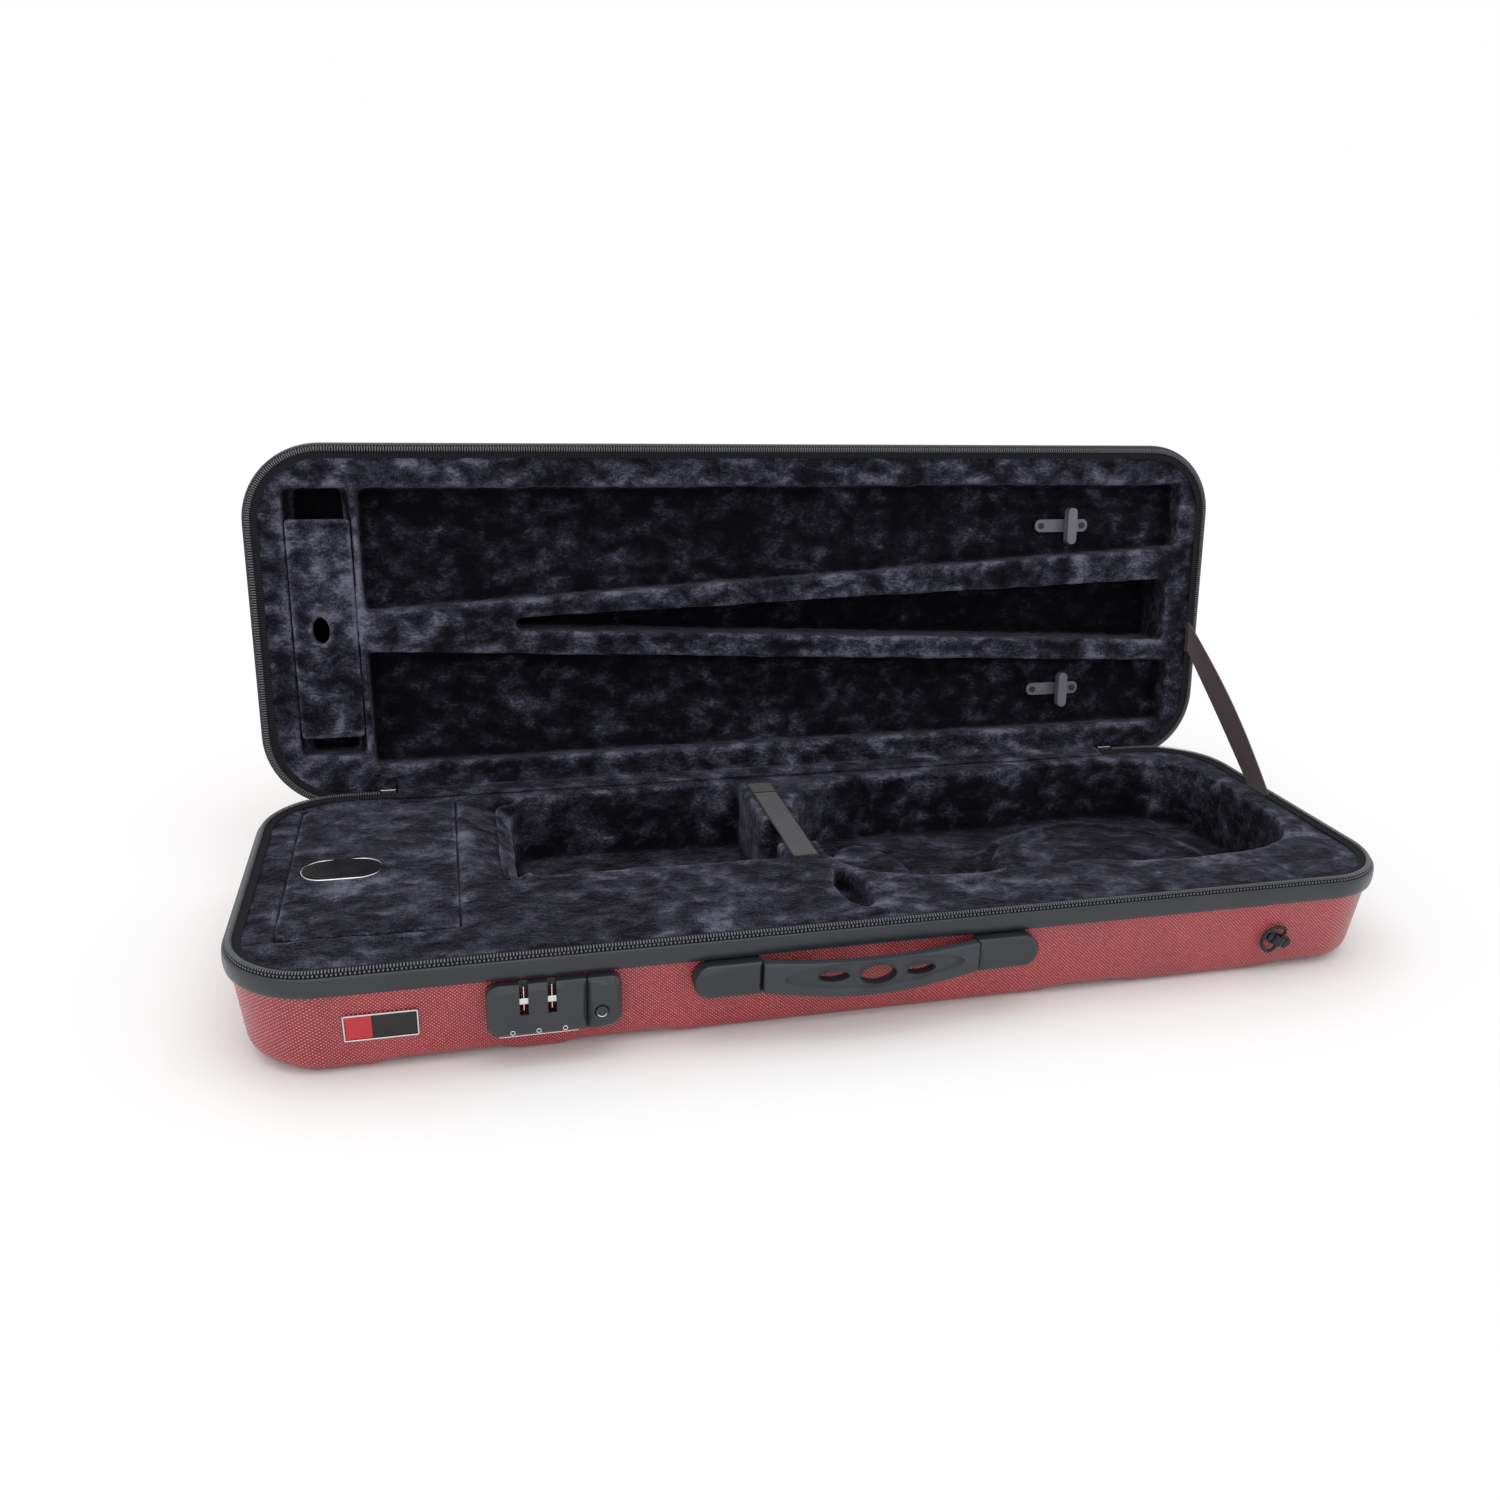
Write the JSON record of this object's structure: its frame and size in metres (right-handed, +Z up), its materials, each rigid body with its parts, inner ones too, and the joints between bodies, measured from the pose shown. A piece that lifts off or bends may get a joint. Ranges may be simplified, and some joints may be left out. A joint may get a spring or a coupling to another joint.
{
  "type": "violin case",
  "caption": "Oblong hard violin case standing open on its stay strap: plush-lined tray with violin recess, lid with bow channels, zip rim, dial lock and side handle.",
  "frame": {"origin": "on the ground under the middle of the base tray", "axes": "+X along the case from the scroll end to the body end, +Y from the handle side to the hinge side, +Z up"},
  "size_m": [0.8, 0.3855, 0.3346],
  "materials": {
    "red_shell": "satin",
    "dark_plastic": "satin",
    "dark_rubber": "matte",
    "zip_tape": "matte",
    "zip_teeth": "satin",
    "plush": "matte",
    "bright_steel": "satin",
    "black_metal": "satin",
    "badge_red": "satin",
    "badge_black": "satin",
    "holder_plastic": "satin",
    "webbing": "matte",
    "stay_webbing": "matte",
    "tab_leather": "satin"
  },
  "bodies": {
    "base": {"base_shell": "red_shell", "base_rim_band": "dark_plastic", "base_zip_tape": "zip_tape", "base_zip_teeth": "zip_teeth", "foam_floor": "plush", "foam_scroll_end": "plush", "foam_body_end": "plush", "neck_block": "plush", "lower_body_pad": "plush", "upper_body_pad": "plush", "neck_strap_anchor": "webbing", "fabric_hinge": "plush", "stay_strap": "stay_webbing", "stay_tab_base": "stay_webbing", "lock_housing": "dark_plastic", "lock_end_cover": "dark_plastic", "lock_dial_shaft": "bright_steel", "handle_mount_left": "dark_plastic", "handle_mount_right": "dark_plastic", "badge_frame": "bright_steel", "badge_plate_left": "badge_red", "badge_plate_right": "badge_black", "strap_saddle_front": "black_metal", "strap_saddle_rear": "black_metal", "strap_screw_front_1": "black_metal", "strap_screw_front_2": "black_metal", "strap_screw_rear_1": "black_metal", "strap_screw_rear_2": "black_metal"},
    "lid": {"lid_shell": "red_shell", "lid_rim_band": "dark_plastic", "lid_zip_tape": "zip_tape", "lid_zip_teeth": "zip_teeth", "lid_foam": "plush", "stay_tab_lid": "stay_webbing", "bow_holder_plate_upper": "holder_plastic", "bow_holder_plate_lower": "holder_plastic", "bow_screw_upper_1": "black_metal", "bow_screw_upper_2": "black_metal", "bow_screw_lower_1": "black_metal", "bow_screw_lower_2": "black_metal"},
    "bow_toggle_upper": {"bow_toggle_upper": "holder_plastic"},
    "bow_toggle_lower": {"bow_toggle_lower": "holder_plastic"},
    "lid_pocket_cover": {"lid_pocket_cover": "plush"},
    "accessory_cover": {"accessory_cover": "plush"},
    "accessory_pull_tab": {"accessory_pull_tab": "tab_leather"},
    "neck_strap": {"neck_strap": "webbing"},
    "handle_grip": {"handle_grip": "dark_rubber"},
    "lock_button": {"lock_button": "dark_plastic"},
    "lock_catch": {"lock_catch_bar": "bright_steel"},
    "lock_dial_1": {"lock_dial_1": "dark_plastic"},
    "lock_dial_2": {"lock_dial_2": "dark_plastic"},
    "lock_dial_3": {"lock_dial_3": "dark_plastic"},
    "strap_ring_front": {"strap_ring_front": "black_metal"},
    "strap_ring_rear": {"strap_ring_rear": "black_metal"},
    "zip_slider_left": {"zip_slider_left": "bright_steel"},
    "zip_slider_right": {"zip_slider_right": "bright_steel"},
    "zip_pull_tab_left": {"zip_pull_tab_left": "bright_steel"},
    "zip_pull_tab_right": {"zip_pull_tab_right": "bright_steel"}
  },
  "joints": [
    {"name": "lid_hinge", "type": "hinge", "parent": "base", "child": "lid", "pos_m": [0, 0.1328, 0.0671], "axis": [1, 0, 0], "range_deg": [0, 97.3], "deforming": ["fabric_hinge", "stay_strap"]},
    {"name": "bow_toggle_upper_turn", "type": "hinge", "parent": "lid", "child": "bow_toggle_upper", "pos_m": [0.274, 0.18767, 0.26483], "axis": [0, -0.9919, 0.1271], "continuous": true},
    {"name": "bow_toggle_lower_turn", "type": "hinge", "parent": "lid", "child": "bow_toggle_lower", "pos_m": [0.274, 0.16931, 0.1215], "axis": [0, -0.9919, 0.1271], "continuous": true},
    {"name": "lid_pocket_swing", "type": "hinge", "parent": "lid", "child": "lid_pocket_cover", "pos_m": [-0.3707, 0.16174, 0.19703], "axis": [0, 0.1271, 0.9919], "range_deg": [-100, 0]},
    {"name": "accessory_cover_swing", "type": "hinge", "parent": "base", "child": "accessory_cover", "pos_m": [-0.26, 0.01475, 0.0708], "axis": [0, -1, 0], "range_deg": [-100, 0]},
    {"name": "pull_tab_swing", "type": "hinge", "parent": "accessory_cover", "child": "accessory_pull_tab", "pos_m": [-0.362, 0.005, 0.0719], "axis": [0, 1, 0], "range_deg": [-100, 0]},
    {"name": "neck_strap_swing", "type": "hinge", "parent": "base", "child": "neck_strap", "pos_m": [-0.018, 0.088, 0.0719], "axis": [1, 0, 0], "range_deg": [-100, 0]},
    {"name": "handle_pull", "type": "slide", "parent": "base", "child": "handle_grip", "axis": [0, -1, 0], "range_m": [0, 0.012], "stiffness_N_per_m": 1200},
    {"name": "lock_button_press", "type": "slide", "parent": "base", "child": "lock_button", "axis": [0, 1, 0], "range_m": [0, 0.0016], "stiffness_N_per_m": 500},
    {"name": "lock_catch_slide", "type": "slide", "parent": "base", "child": "lock_catch", "axis": [1, 0, 0], "range_m": [0, 0.003]},
    {"name": "lock_dial_1_turn", "type": "hinge", "parent": "base", "child": "lock_dial_1", "pos_m": [-0.2326, -0.1379, 0.0261], "axis": [1, 0, 0], "continuous": true},
    {"name": "lock_dial_2_turn", "type": "hinge", "parent": "base", "child": "lock_dial_2", "pos_m": [-0.2171, -0.1379, 0.0261], "axis": [1, 0, 0], "continuous": true},
    {"name": "lock_dial_3_turn", "type": "hinge", "parent": "base", "child": "lock_dial_3", "pos_m": [-0.2013, -0.1379, 0.0261], "axis": [1, 0, 0], "continuous": true},
    {"name": "strap_ring_front_swing", "type": "hinge", "parent": "base", "child": "strap_ring_front", "pos_m": [0.303, -0.13465, 0.02737], "axis": [0.4384, -0.0956, 0.8937], "range_deg": [0, 150]},
    {"name": "strap_ring_rear_swing", "type": "hinge", "parent": "base", "child": "strap_ring_rear", "pos_m": [0.303, 0.13465, 0.02737], "axis": [-0.4384, -0.0956, -0.8937], "range_deg": [0, 150]},
    {"name": "zip_slider_left_slide", "type": "slide", "parent": "base", "child": "zip_slider_left", "axis": [-1, 0, 0], "range_m": [0, 0.012]},
    {"name": "zip_pull_tab_left_swing", "type": "hinge", "parent": "zip_slider_left", "child": "zip_pull_tab_left", "pos_m": [-0.3095, 0.1394, 0.0713], "axis": [0, 1, 0], "range_deg": [0, 80]},
    {"name": "zip_slider_right_slide", "type": "slide", "parent": "base", "child": "zip_slider_right", "axis": [1, 0, 0], "range_m": [0, 0.012]},
    {"name": "zip_pull_tab_right_swing", "type": "hinge", "parent": "zip_slider_right", "child": "zip_pull_tab_right", "pos_m": [0.3095, 0.1394, 0.0713], "axis": [0, -1, 0], "range_deg": [0, 80]}
  ],
  "couplings": [
    {"joint": "lock_catch_slide", "follows": "lock_button_press", "ratio": 1.875}
  ]
}
